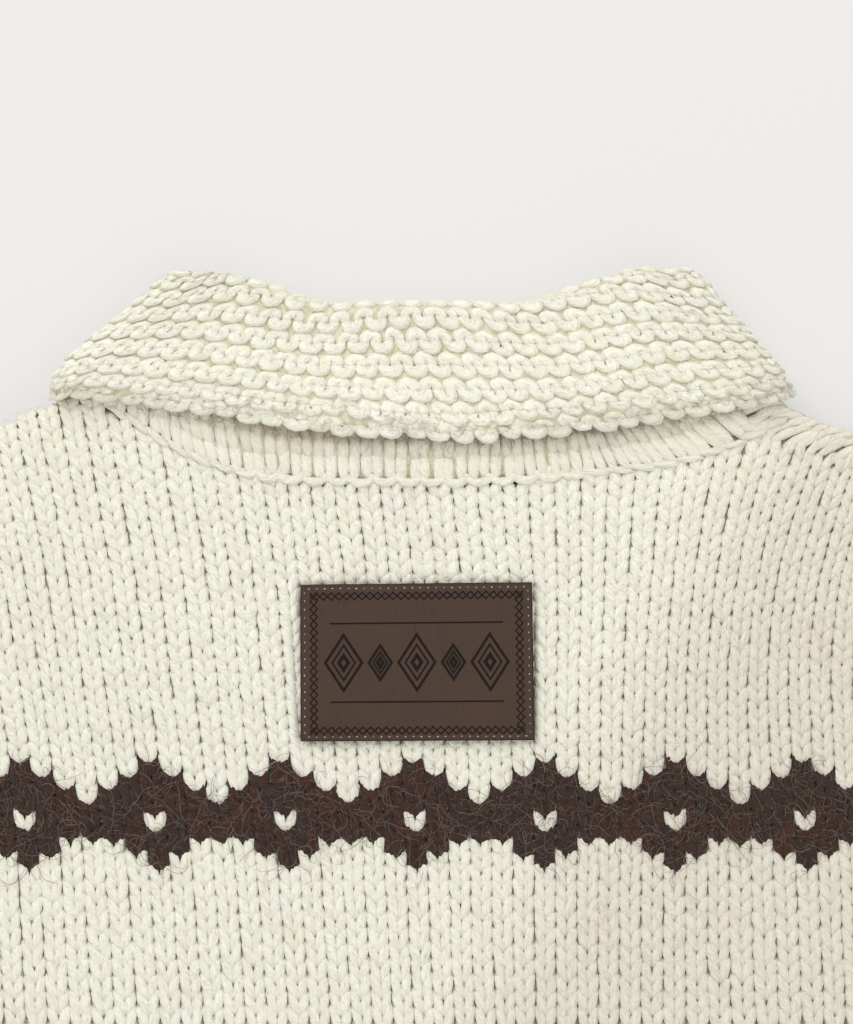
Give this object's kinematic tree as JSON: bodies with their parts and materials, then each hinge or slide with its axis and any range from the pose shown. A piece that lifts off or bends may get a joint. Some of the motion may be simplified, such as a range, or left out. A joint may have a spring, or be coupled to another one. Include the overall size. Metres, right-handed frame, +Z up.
{
  "type": "alpaca sweater laid face down",
  "caption": "Chunky knitted pullover laid flat with its back up: folded garter-stitch collar, ribbed hem and cuffs, plain leather patch.",
  "frame": {"origin": "middle of the laid-out garment's box, on the surface it lies on", "axes": "+X across the back towards the right sleeve as seen, +Y up the back towards the collar, +Z up off the surface"},
  "size_m": [1.2966, 0.663, 0.0204],
  "materials": {
    "knit_body": "soft fuzzy stockinette in cream wool, with a dark brown diamond band",
    "knit_collar": "soft fuzzy garter stitch in cream wool",
    "knit_rib": "ribbed knit in cream wool",
    "patch_leather": "matt dark brown leather, pressed border, stitched on"
  },
  "bodies": {
    "root": {"back_panel": "knit_body", "front_panel": "knit_body", "sleeve_left": "knit_body", "sleeve_right": "knit_body", "collar": "knit_collar", "hem_rib_back": "knit_rib", "hem_rib_front": "knit_rib", "cuff_left": "knit_rib", "cuff_right": "knit_rib", "leather_patch": "patch_leather"}
  },
  "joints": []
}
